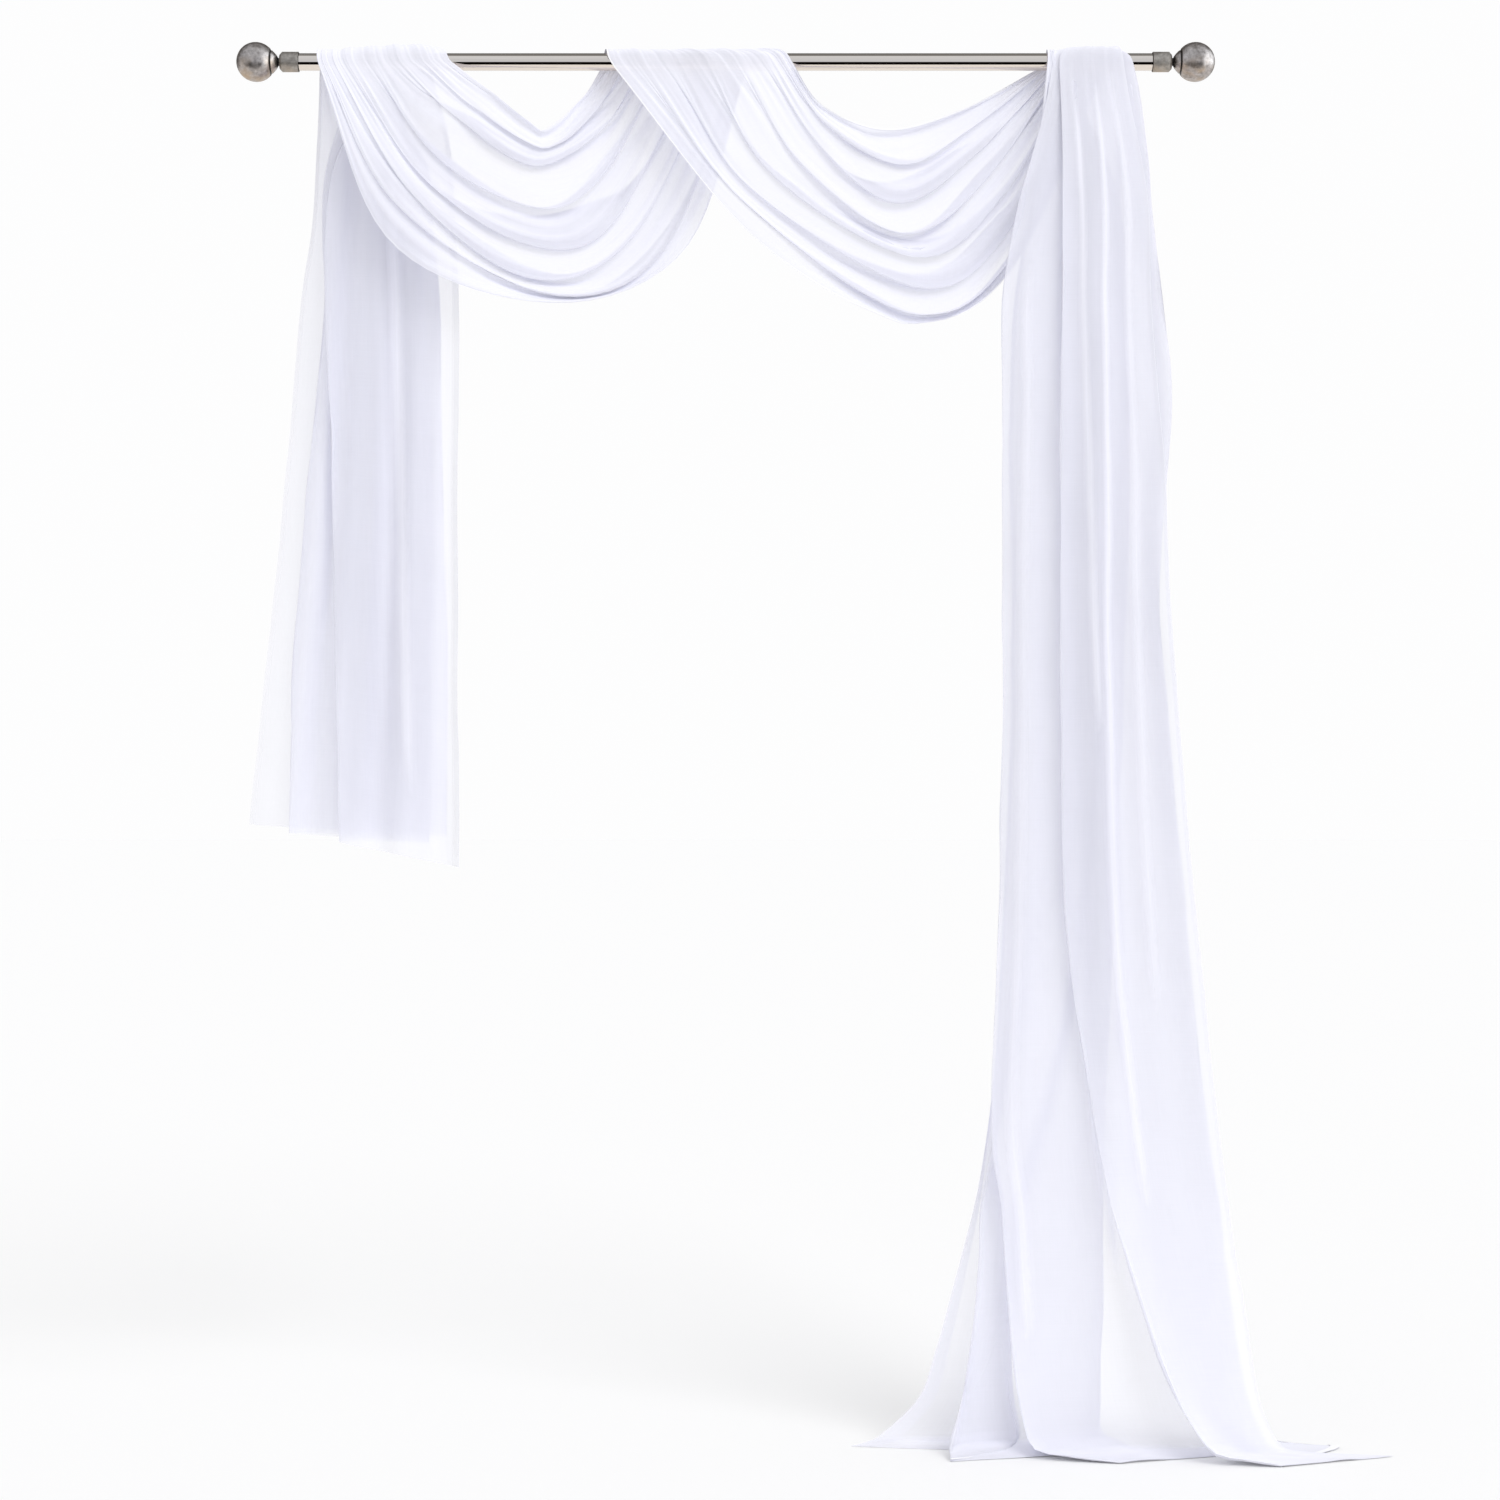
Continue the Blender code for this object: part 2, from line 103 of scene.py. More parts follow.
SWAG_COLUMNS = (
    "start_x", "left_x", "left_drop", "low_x", "low_drop", "right_x", "right_drop", "end_x",
)
SWAG_1 = (
    (-414, -346, 53, -274, 100, -218, 54, -184),
    (-450, -374, 72, -272, 131, -199, 74, -156),
    (-488, -400, 88, -284, 159, -184, 95, -128),
    (-526, -430, 146, -278, 222, -184, 165, -101),
    (-563, -446, 183, -286, 279, -169, 238, -53),
    (-586, -466, 202, -293, 326, -143, 264, -16),
    (-601, -488, 218, -271, 350, -98, 288, 14),
    (-611, -498, 276, -256, 365, -60, 278, 34),
)
SWAG_2 = (
    (-176, 47, 272, 268, 389, 427, 315, 576),
    (-128, 27, 214, 274, 378, 424, 300, 558),
    (-80, 37, 192, 284, 339, 419, 262, 541),
    (-23, 74, 176, 284, 296, 413, 204, 524),
    (22, 112, 155, 263, 260, 392, 172, 510),
    (64, 141, 128, 255, 214, 378, 134, 498),
    (85, 150, 96, 262, 157, 366, 98, 489),
    (97, 146, 72, 239, 104, 352, 70, 482),
)
SHOULDERS_AT = (0.0, 0.25, 0.5, 0.75, 1.0)
FOLD_COLUMNS = ("tuck", "depth")
SWAG_1_FOLDS = (
    (0.25, 0.45), (0.80, 0.85), (0.95, 1.0), (0.75, 1.0), (1.05, 1.0), (0.85, 0.90), (0.75, 0.70),
)
SWAG_2_FOLDS = (
    (0.80, 0.70), (0.95, 0.90), (1.10, 1.0), (0.80, 1.0), (0.95, 1.0), (0.70, 0.85), (0.25, 0.45),
)
ALONG_SWAG = (0.0, 0.12, 0.27, 0.45, 0.62, 0.76, 0.88, 1.0)
MIDDLE_DEPTH = (-18.4, -23.0, -27.0, -16.0, 6.0, 20.0, 21.5, 18.4)
FOLD_DEPTH = (0.4, 1.6, 3.6, 9.0, 9.5, 6.5, 3.5, 0.0)
SWAG_1_TUCKED = (0.0, 0.35, 0.75, 1.0, 1.0, 0.9, 0.5, 0.0)
SWAG_2_TUCKED = (0.0, 0.35, 0.55, 0.9, 1.0, 0.95, 0.6, 0.0)
# How far the tucks wander, and how often along a swag and from fold to fold
TUCK_WANDER = 0.35
WANDER_ALONG = 1.3
WANDER_BY_FOLD = 0.37
NOTCH_DEPTH = 8.0
NOTCH_WIDTH = 0.035

WRAP_LINES = (0, 1, 4, 7, 10, 12, 14)
WRAP_1_LIFT = (2.5, 7.0, 9.0, 5.0, 1.5, 1.0, 0.5)
WRAP_2_LIFT = (0.5, 1.0, 0.5, 1.5, 0.5, 1.5, 0.5)
WRAP_3_LIFT = (1.6, 1.4, 0.5, 0.3, 0.3, 0.3, 0.3, 0.3)

LEFT_TOP_X = (-446, -478, -506, -536, -565, -586, -601, -611)
LEFT_TURNS = (0, 2.33, 4.33, 7, 10, 14)
LEFT_LEVELS = (
    (130, (-412, -590, -470, -603, -457, -625)),
    (222, (-406, -608, -462, -615, -446, -631)),
    (342, (-402, -606, -453, -612, -434, -648)),
    (507, (-402, -602, -443, -626, -431, -663)),
    (657, (-402, -599, -438, -641, -428, -677)),
    (957, (-402, -591, -441, -661, -423, -707)),
    (1165, (-402, -585, -444, -667, -423, -730)),
)
LEFT_LENGTH = 1165
LEFT_HEM_DROP = (1209, 1170, 1172, 1158, 1163, 1146)
LEFT_LAYER_GAP = 12.0
LEFT_PLEATS_OPEN = 170.0

RIGHT_TURNS = (0, 3, 5, 9, 11, 12.4, 13.2, 14)
RIGHT_LEVELS = (
    (0, (594, 497, 608, 492, 490, 488, 485, 482)),
    (57, (602, 499, 620, 480, 522, 503, 490, 476)),
    (132, (615, 500, 628, 459, 564, 518, 492, 469)),
    (222, (627, 499, 635, 433, 592, 526, 491, 455)),
    (357, (629, 497, 651, 412, 603, 522, 473, 431)),
    (507, (638, 496, 663, 410, 605, 519, 470, 425)),
    (610, (647, 494, 657, 410, 605, 517, 470, 425)),
    (807, (655, 493, 646, 410, 600, 514, 467, 427)),
    (1032, (673, 496, 663, 410, 594, 508, 464, 425)),
    (1182, (686, 497, 676, 407, 587, 496, 458, 419)),
    (1407, (709, 515, 698, 398, 578, 462, 437, 409)),
    (1557, (725, 539, 714, 392, 572, 421, 415, 397)),
    (1632, (734, 551, 723, 394, 570, 394, 409, 386)),
    (1707, (744, 566, 733, 404, 569, 372, 422, 371)),
    (1782, (754, 588, 743, 409, 568, 366, 431, 351)),
    (1857, (766, 611, 753, 414, 567, 358, 436, 330)),
    (1932, (776, 636, 765, 420, 566, 345, 440, 308)),
    (2007, (791, 672, 783, 430, 564, 327, 449, 275)),
    (2045, (808, 698, 803, 440, 561, 313, 459, 230)),
)
RIGHT_DEPTHS = (
    (0, (-25.5, -24, -21.5, -18.4, -18.4, -18.4, -18.4, -18.4)),
    (57, (-30, -27, -25, -22, -20, -19, -18.5, -18)),
    (132, (-44, -38, -34, -29, -24, -22, -21, -20)),
    (357, (-70, -60, -51, -40, -31, -27, -24, -22)),
    (1407, (-76, -64, -54, -42, -32, -28, -24, -22)),
    (1557, (-78, -72, -56, -50, -28, -36, -22, -24)),
    (1707, (-80, -92, -58, -64, -18, -48, -20, -27)),
    (1857, (-84, -120, -60, -82, -10, -66, -22, -31)),
    (2007, (-105, -160, -62, -116, 2, -100, -26, -40)),
    (2045, (-112, -170, -62, -134, 6, -116, -30, -45)),
)
RIGHT_FLOOR = (
    (8, (858, 757, 848, 500, 585, 310, 440, 207), (-116, -177, -60, -150, -50, -138, -80, -50)),
    (2, (979, 799, 912, 566, 600, 309, 430, 179), (-117, -180, -56, -162, -90, -150, -95, -54)),
)
# How far the cloth is rounded at its turns, in lines: across, in depth and on the floor
TURN_ROUNDING = 0.42
LAYER_ROUNDING = 0.1
FLOOR_ROUNDING = 0.3
ROUNDING_STEPS = 25
# How much of a tail's change in depth is drawn to its turns
HURRY = 0.75
# How far the left tail stands off once its pleats are open, in mm
LEFT_STANDS_OFF = 4.0
# Soft waves of the tails: height in mm, waves across and phase, how they lean with each mm
# of drop, and their share at each drop
LEFT_WAVES = ((4.5, 3.3, 0.6), (2.0, 6.1, 2.0))
RIGHT_WAVES = ((4.5, 2.6, 1.2), (2.0, 4.7, 0.3))
WAVE_LEAN = 0.0006
WAVE_DROPS = (0, 90, 350, 1500, 1950, 2100)
WAVE_SHARE = (0.0, 0.2, 0.9, 1.0, 0.5, 0.0)

# Fine sampling of the sheet
SAMPLES_PER_LINE = 14
ROW_STEP = 0.003
SMOOTH_LENGTH = 0.008
WRAP_FINE_STEPS = 24
SWAG_FINE_STEPS = 90
TAIL_FINE_STEPS = 160
FOOT_FINE_STEPS = 40
# Rows kept for the mesh: their spacing near the rod and elsewhere, and how far near is
CLOSE_ROWS = 0.004
WIDE_ROWS = 0.0155
NEAR_ROD = 0.05
# Least height of the cloth above the floor
FLOOR_GAP = 0.0012
# Hem strip: how far it lies behind its sheet, and how far it reaches in from the right hem
HEM_BEHIND = 0.0007
HEM_END_REACH = 0.0128
# Slack in comparing places, so that a value on the limit counts
SLACK = 1e-6

# Gathers: fine pleats that fan out from each wrap and fade along the cloth
GATHER_HEIGHT = 0.0009
GATHER_REACH = 0.12
GATHER_WAVES = ((1.0, 1.31, 0.4), (0.7, 2.17, 1.9), (0.45, 3.3, 4.1))
# Least share of their height on the rod, and how far from it they reach their full height
LEAST_GATHER = 0.35
FULL_GATHER = 0.03
# Soft unevenness: height, waves across the width, waves a metre along, phase
WRINKLES = (
    (0.0012, 2.3, 1.7, 0.3), (0.0009, 3.9, -2.6, 1.8),
    (0.0007, 6.1, 3.9, 4.0), (0.0005, 9.7, -6.3, 2.2),
)
# How far and how often a wrinkle bends, and how much of it fades near the rod
WRINKLE_BEND = 0.9
WRINKLE_BENDS = 0.6
WRINKLE_FADE = 0.7

# Creases: the line each one follows and how many lines it drifts, where it starts and
# ends along the cloth, in metres from the left hem, its height in mm and half its width in
# lines. A positive height is a ridge, a negative one a trough.
CREASE_COLUMNS = ("line", "drift", "start", "end", "height", "width")
CREASES = (
    (1.43, 0.14, 1.44, 1.78, 1.0, 0.10), (1.71, 0.00, 1.50, 1.70, -0.8, 0.09),
    (3.36, 0.21, 1.40, 1.86, 1.2, 0.10), (3.64, 0.00, 1.48, 1.80, -1.0, 0.08),
    (5.43, -0.14, 1.36, 1.90, 1.4, 0.10), (5.71, 0.07, 1.46, 1.85, 1.2, 0.08),
    (7.29, 0.21, 1.38, 1.92, 1.4, 0.11), (7.64, 0.00, 1.44, 1.88, -1.2, 0.08),
    (9.36, 0.14, 1.34, 1.80, 1.4, 0.10), (9.64, 0.14, 1.44, 1.94, 1.4, 0.08),
    (11.29, 0.28, 1.36, 1.92, 1.4, 0.10), (11.71, 0.00, 1.42, 1.84, -1.0, 0.08),
    (13.36, 0.14, 1.24, 1.90, 1.0, 0.10), (12.64, 0.07, 1.46, 1.80, 1.2, 0.08),
    (0.43, 0.00, 2.24, 2.76, 1.2, 0.10), (0.71, 0.14, 2.32, 2.66, -1.0, 0.08),
    (2.36, 0.14, 2.20, 2.78, 1.4, 0.10), (2.64, 0.00, 2.30, 2.70, 1.2, 0.08),
    (4.29, 0.21, 2.22, 2.72, 1.4, 0.10), (4.71, -0.07, 2.28, 2.74, -1.2, 0.08),
    (6.43, 0.00, 2.18, 2.78, 1.4, 0.11), (6.71, 0.14, 2.30, 2.70, 1.2, 0.08),
    (8.36, 0.14, 2.20, 2.72, 1.4, 0.10), (8.64, 0.07, 2.28, 2.66, -1.0, 0.08),
    (10.43, 0.00, 2.16, 2.76, 1.2, 0.10), (10.71, 0.14, 2.24, 2.60, 1.0, 0.08),
    (12.36, 0.14, 2.14, 2.60, 1.2, 0.10), (13.29, 0.00, 2.20, 2.74, 0.8, 0.10),
    (2.21, 0.14, 1.52, 1.76, 0.8, 0.07), (2.86, -0.14, 1.46, 1.72, -0.8, 0.07),
    (4.29, 0.21, 1.50, 1.80, 0.9, 0.07), (4.86, -0.14, 1.44, 1.74, 0.8, 0.07),
    (6.21, 0.14, 1.54, 1.82, -0.8, 0.07), (6.79, -0.21, 1.48, 1.78, 0.9, 0.07),
    (8.29, 0.21, 1.42, 1.74, 0.9, 0.07), (8.79, -0.14, 1.52, 1.86, 0.8, 0.07),
    (10.21, 0.14, 1.46, 1.80, 0.9, 0.07), (10.71, -0.14, 1.54, 1.84, -0.8, 0.07),
    (12.14, 0.21, 1.48, 1.76, 0.8, 0.07), (13.79, -0.14, 1.44, 1.78, 0.8, 0.07),
    (1.29, 0.14, 2.30, 2.62, 0.8, 0.07), (1.86, -0.14, 2.36, 2.68, 0.9, 0.07),
    (3.29, 0.21, 2.28, 2.66, -0.8, 0.07), (3.79, -0.14, 2.38, 2.72, 0.9, 0.07),
    (5.21, 0.14, 2.32, 2.64, 0.9, 0.07), (5.79, -0.21, 2.40, 2.70, -0.8, 0.07),
    (7.29, 0.14, 2.26, 2.60, 0.9, 0.07), (7.79, -0.14, 2.36, 2.68, 0.8, 0.07),
    (9.21, 0.21, 2.30, 2.66, 0.8, 0.07), (9.79, -0.14, 2.38, 2.70, 0.9, 0.07),
    (11.29, 0.14, 2.28, 2.62, -0.8, 0.07), (11.79, -0.14, 2.34, 2.66, 0.8, 0.07),
    (0.86, 0.21, 0.10, 1.12, 0.6, 0.07), (5.57, -0.14, 0.20, 1.16, 0.7, 0.07),
    (8.50, 0.28, 0.06, 1.10, 0.8, 0.07), (11.43, -0.21, 0.10, 1.14, 0.8, 0.07),
    (12.86, 0.14, 0.30, 1.16, 0.6, 0.07), (3.29, 0.14, 0.12, 1.00, 0.6, 0.07),
    (0.57, 0.43, 2.90, 4.30, 0.6, 0.07), (1.29, 0.57, 2.92, 4.60, 0.7, 0.07),
    (2.14, -0.28, 2.94, 3.90, 0.6, 0.07), (6.07, 0.50, 2.96, 4.40, 0.7, 0.07),
    (7.36, -0.36, 2.94, 4.70, 0.7, 0.07), (8.21, 0.28, 3.20, 4.80, 0.6, 0.07),
    (9.93, 0.21, 2.98, 4.20, 0.5, 0.07), (11.64, 0.28, 3.30, 4.80, 0.5, 0.07),
)
CREASE_FADE = 0.08
# How many layers more a crease holds at its middle
CREASE_LAYERS = 2.0

# Sheerness: how much one layer hides, face on, the least that it faces the view, the least
# share of its flat width that it takes up, and how closely it is gathered at most
LAYER_COVER = 0.43
LEAST_FACING = 0.22
LEAST_WIDTH = 0.05
MOST_GATHERED = 5.0
# A hem is turned in twice, which makes it whiter and less sheer
HEM_LAYERS = 1.9
SHEET_COLOUR = (0.890, 0.893, 0.978)
HEM_COLOUR = (0.965, 0.966, 0.992)
# Threads: how the noise is stretched along warp and weft, and how much they vary the cover
THREAD_STRETCHES = ((900.0, 14.0, 1.0), (14.0, 900.0, 1.0))
THREAD_SPREAD = (0.98, 1.02)

# Floor: how far it reaches to the sides and back, and where its front edge lies
FLOOR_REACH = 30.0
FLOOR_FRONT = -1.85
FLOOR_COLOUR = (0.942, 0.942, 0.940, 1.0)

# Studio: a soft sun, the even sky that lights the cloth, and the one that the camera sees
SUN_ENERGY = 1.0
SUN_SPREAD = 36
SUN_TILT = 50
SUN_TURN = 38
SKY_COLOUR = (0.835, 0.835, 0.841, 1.0)
BACKDROP_COLOUR = (0.985, 0.985, 0.988, 1.0)
# What the metal mirrors, from straight down to straight up, before and behind the cloth
MIRRORED_BEFORE = (
    (0.0, (0.002, 0.001, 0.001)), (0.38, (0.003, 0.002, 0.002)), (0.43, (0.75, 0.80, 0.88)),
    (0.60, (0.70, 0.75, 0.83)), (0.975, (0.78, 0.83, 0.90)), (0.995, (0.22, 0.22, 0.22)),
    (1.0, (0.18, 0.18, 0.18)),
)
MIRRORED_BEHIND = (
    (0.0, (0.3, 0.26, 0.20)), (0.45, (0.10, 0.09, 0.08)), (0.9, (0.05, 0.045, 0.04)),
    (1.0, (0.18, 0.18, 0.18)),
)
# Where the one gives way to the other, as a share of the direction that goes back
BEFORE_TO_BEHIND = (-0.05, 0.45)
# A bright lamp that only the metal's right side mirrors, and where its edge lies
SIDE_LAMP = (2.6, 2.8, 3.0, 1.0)
SIDE_LAMP_EDGE = (0.62, 0.90)
# How many sheer layers a ray can pass
TRANSPARENT_LAYERS = 64


def curve_through(knots, values, at):
    """Smooth cubic curve through values at rising knots."""
    knots = np.asarray(knots, float)
    values = np.asarray(values, float)
    slopes = np.gradient(values, knots, axis=0)
    at = np.clip(at, knots[0], knots[-1])
    span = np.clip(np.searchsorted(knots, at, side="right") - 1, 0, len(knots) - 2)
    width = knots[span + 1] - knots[span]
    f = (at - knots[span]) / width
    start_share = 2 * f**3 - 3 * f**2 + 1
    start_slope = f**3 - 2 * f**2 + f
    end_slope = f**3 - f**2
    return (
        start_share * values[span]
        + (1 - start_share) * values[span + 1]
        + width * (start_slope * slopes[span] + end_slope * slopes[span + 1])
    )


def rounded_path(knots, values, at, rounding):
    """Straight runs between values, with each corner rounded over a share of a line."""
    knots = np.asarray(knots, float)
    values = np.asarray(values, float)
    first = values[0] - (values[1] - values[0]) / (knots[1] - knots[0])
    last = values[-1] + (values[-1] - values[-2]) / (knots[-1] - knots[-2])
    longer_knots = np.concatenate(([knots[0] - 1], knots, [knots[-1] + 1]))
    longer_values = np.concatenate(([first], values, [last]))
    turns = np.diff(np.diff(longer_values) / np.diff(longer_knots))
    longer_values[1:-1] -= rounding / 4 * turns
    shifts = np.linspace(-rounding, rounding, ROUNDING_STEPS)
    return np.mean([np.interp(at + s, longer_knots, longer_values) for s in shifts], axis=0)


def hurried(knots, at):
    """Lines moved so that what follows them changes fastest at the turns."""
    knots = np.asarray(knots, float)
    span = np.clip(np.searchsorted(knots, at, side="right") - 1, 0, len(knots) - 2)
    width = knots[span + 1] - knots[span]
    f = (at - knots[span]) / width
    return knots[span] + width * (f + HURRY * np.sin(2 * math.pi * f) / (2 * math.pi))


def fold_zigzag(line):
    """0 on each ridge and 1 in each throat, with the number of the fold."""
    fold = np.clip(np.floor(line / 2), 0, FOLD_COUNT - 1).astype(int)
    return np.sin(math.pi * line / 2) ** 2, fold


def swag_points(table, folds, tucked, upward, line, along):
    """Points of a swag, at each of the lines, a share of the way along it."""
    zigzag, fold = fold_zigzag(line)
    shape = dict(zip(FOLD_COLUMNS, np.asarray(folds, float)[fold].T))
    turns = WANDER_ALONG * along + WANDER_BY_FOLD * fold
    wander = 1 + TUCK_WANDER * np.sin(2 * math.pi * turns)
    tuck = shape["tuck"] * wander * curve_through(ALONG_SWAG, tucked, along)
    family = line / 2 + (tuck if upward else -tuck) * zigzag
    ridges = np.arange(FOLD_COUNT + 1)
    row = dict(zip(SWAG_COLUMNS, np.asarray(table, float).T))
    xs = [curve_through(ridges, row[name], family)
          for name in ("start_x", "left_x", "low_x", "right_x", "end_x")]
    drops = [np.zeros_like(family)]
    drops += [curve_through(ridges, row[name], family)
              for name in ("left_drop", "low_drop", "right_drop")]
    drops.append(np.zeros_like(family))
    x = curve_through(SHOULDERS_AT, np.array(xs), along)
    drop = curve_through(SHOULDERS_AT, np.array(drops), along)
    notch = NOTCH_DEPTH * math.exp(-(((along - 0.5) / NOTCH_WIDTH) ** 2))
    drop = drop + notch * np.exp(-np.clip(family, 0, None))
    depth = curve_through(ALONG_SWAG, FOLD_DEPTH, along)
    y = curve_through(ALONG_SWAG, MIDDLE_DEPTH, along) + depth * (2 * shape["depth"] * zigzag - 1)
    return np.stack((x, y, -drop), axis=1) * MM


def wrap_points(back, front, lift, line, turn):
    """Points of the cloth over the rod: turn is 0 at its back, 1 at its front."""
    angle = math.pi * turn
    share = (1 - math.cos(angle)) / 2
    zigzag, _ = fold_zigzag(line)
    radius = WRAP_RADIUS + (-front[:, 1] - WRAP_RADIUS) * share + lift * MM * math.sin(angle)
    radius = radius + WRAP_PLEAT * share * (1 - 2 * zigzag)
    x = back[:, 0] + (front[:, 0] - back[:, 0]) * share
    return np.stack((x, radius * math.cos(angle), radius * math.sin(angle)), axis=1)


def waves(rows, across, drop):
    """Depth of the soft waves at a share of the way across a tail."""
    lean = WAVE_LEAN * drop
    depth = sum(h * np.sin(2 * math.pi * n * across + p + lean) for h, n, p in rows)
    return depth * curve_through(WAVE_DROPS, WAVE_SHARE, drop)


def left_tail_points(line, down):
    """Points of the left tail, behind the rod: down is 0 at the rod, 1 at the hem."""
    drop = down * rounded_path(LEFT_TURNS, LEFT_HEM_DROP, line, TURN_ROUNDING)
    top_x = curve_through(np.arange(FOLD_COUNT + 1), LEFT_TOP_X, line / 2)
    level_x = [rounded_path(LEFT_TURNS, row[1], line, TURN_ROUNDING) for row in LEFT_LEVELS]
    levels = [0] + [row[0] for row in LEFT_LEVELS]
    x = curve_through(levels, np.array([top_x] + level_x), down * LEFT_LENGTH)
    across = (x - x.min()) / (x.max() - x.min())
    opened = np.clip(drop / LEFT_PLEATS_OPEN, 0, 1)
    opened = opened * opened * (3 - 2 * opened)
    layers = np.arange(len(LEFT_TURNS))
    layer = rounded_path(LEFT_TURNS, layers, hurried(LEFT_TURNS, line), LAYER_ROUNDING)
    y = WRAP_RADIUS / MM + LEFT_LAYER_GAP * layer * np.sqrt(opened)
    y = y + waves(LEFT_WAVES, across, drop) + LEFT_STANDS_OFF * opened
    return np.stack((x, y, -drop), axis=1) * MM


def right_tail_points(line, drop):
    """Points of the right tail at a level above the floor."""
    levels = [row[0] for row in RIGHT_LEVELS]
    turn_x = curve_through(levels, [row[1] for row in RIGHT_LEVELS], drop)
    depth_levels = [row[0] for row in RIGHT_DEPTHS]
    turn_y = curve_through(depth_levels, [row[1] for row in RIGHT_DEPTHS], drop)
    x = rounded_path(RIGHT_TURNS, turn_x, line, TURN_ROUNDING)
    y = rounded_path(RIGHT_TURNS, turn_y, hurried(RIGHT_TURNS, line), LAYER_ROUNDING)
    across = (x - turn_x.min()) / (turn_x.max() - turn_x.min())
    y = y + waves(RIGHT_WAVES, across, drop)
    return np.stack((x, y, np.full_like(x, -drop)), axis=1) * MM


def floor_points(line, row):
    """Points of the right tail where it lies on the floor."""
    height, turn_x, turn_y = row
    x = rounded_path(RIGHT_TURNS, turn_x, line, TURN_ROUNDING)
    y = rounded_path(RIGHT_TURNS, turn_y, line, FLOOR_ROUNDING)
    return np.stack((x, y, np.full_like(x, FLOOR / MM + height)), axis=1) * MM


def scarf_rows(line):
    """The cloth's middle surface, row by row from the left hem to the right hem."""
    rows = [left_tail_points(line, down) for down in np.linspace(1, 0, TAIL_FINE_STEPS)[:-1]]
    turns = np.linspace(0, 1, WRAP_FINE_STEPS + 1)
    along = np.linspace(0, 1, SWAG_FINE_STEPS + 1)
    swag_1 = [swag_points(SWAG_1, SWAG_1_FOLDS, SWAG_1_TUCKED, False, line, a) for a in along]
    swag_2 = [swag_points(SWAG_2, SWAG_2_FOLDS, SWAG_2_TUCKED, True, line, a) for a in along]
    left_top = left_tail_points(line, 0)
    right_top = right_tail_points(line, 0)
    lift_1 = curve_through(WRAP_LINES, WRAP_1_LIFT, line)
    lift_2 = curve_through(WRAP_LINES, WRAP_2_LIFT, line)
    lift_3 = rounded_path(RIGHT_TURNS, WRAP_3_LIFT, hurried(RIGHT_TURNS, line), LAYER_ROUNDING)
    rows += [wrap_points(left_top, swag_1[0], lift_1, line, t) for t in turns]
    rows += swag_1[1:-1]
    rows += [wrap_points(swag_1[-1], swag_2[0], lift_2, line, t) for t in turns]
    rows += swag_2[1:-1]
    rows += [wrap_points(swag_2[-1], right_top, lift_3, line, t) for t in turns]
    drops = np.linspace(0, RIGHT_LEVELS[-1][0], TAIL_FINE_STEPS)[1:]
    rows += [right_tail_points(line, drop) for drop in drops]
    foot = [rows[-2], rows[-1]] + [floor_points(line, row) for row in RIGHT_FLOOR]
    reach = np.cumsum([0] + [np.linalg.norm(b - a, axis=1).mean() for a, b in zip(foot, foot[1:])])
    foot = np.array(foot)
    places = np.linspace(reach[1], reach[-1], FOOT_FINE_STEPS)[1:]
    rows += [curve_through(reach, foot, place) for place in places]
    return np.array(rows)


def even_rows(rows, step):
    """The same surface with its rows an even step apart, and the places of those rows."""
    steps = np.linalg.norm(np.diff(rows, axis=0), axis=2).mean(axis=1)
    place = np.concatenate(([0.0], np.cumsum(steps)))
    wanted = np.linspace(0, place[-1], int(round(place[-1] / step)) + 1)
    span = np.clip(np.searchsorted(place, wanted, side="right") - 1, 0, len(place) - 2)
    share = ((wanted - place[span]) / (place[span + 1] - place[span]))[:, None, None]
    return rows[span] * (1 - share) + rows[span + 1] * share, wanted


def smoothed(rows, width):
    """Rows softened along the cloth, over a width in rows."""
    reach = int(3 * width)
    offsets = np.arange(-reach, reach + 1)
    weights = np.exp(-0.5 * (offsets / width) ** 2)
    weights /= weights.sum()
    first = 2 * rows[:1] - rows[1:reach + 1][::-1]
    last = 2 * rows[-1:] - rows[-reach - 1:-1][::-1]
    longer = np.concatenate((first, rows, last))
    return sum(w * longer[k:k + len(rows)] for k, w in enumerate(weights))


def normals_of(points):
    """Unit normals of a grid of points."""
    down = np.gradient(points, axis=0)
    across = np.gradient(points, axis=1)
    normal = np.cross(across, down)
    return normal / np.maximum(np.linalg.norm(normal, axis=2, keepdims=True), 1e-12)


def gather_and_wrinkle(points, line, place):
    """Adds fine pleats near the rod and a soft unevenness everywhere."""
    axis_distance = np.linalg.norm(points[:, :, 1:], axis=2).mean(axis=1)
    from_rod = np.maximum(axis_distance - WRAP_RADIUS, 0)
    fade = np.exp(-((from_rod / GATHER_REACH) ** 2))[:, None]
    pleats = sum(h * np.sin(2 * math.pi * k * line + p) for h, k, p in GATHER_WAVES)
    on_rod = np.clip(from_rod / FULL_GATHER, LEAST_GATHER, 1)[:, None]
    height = GATHER_HEIGHT * pleats[None, :] * fade * on_rod
    u = line / LINE_COUNT
    for size, waves_across, waves_along, phase in WRINKLES:
        angle = 2 * math.pi * (waves_across * u[None, :] + waves_along * place[:, None]) + phase
        bend = WRINKLE_BEND * np.sin(WRINKLE_BENDS * angle + phase)
        height = height + size * np.sin(angle + bend) * (1 - WRINKLE_FADE * fade)
    return points + normals_of(points) * height[:, :, None]


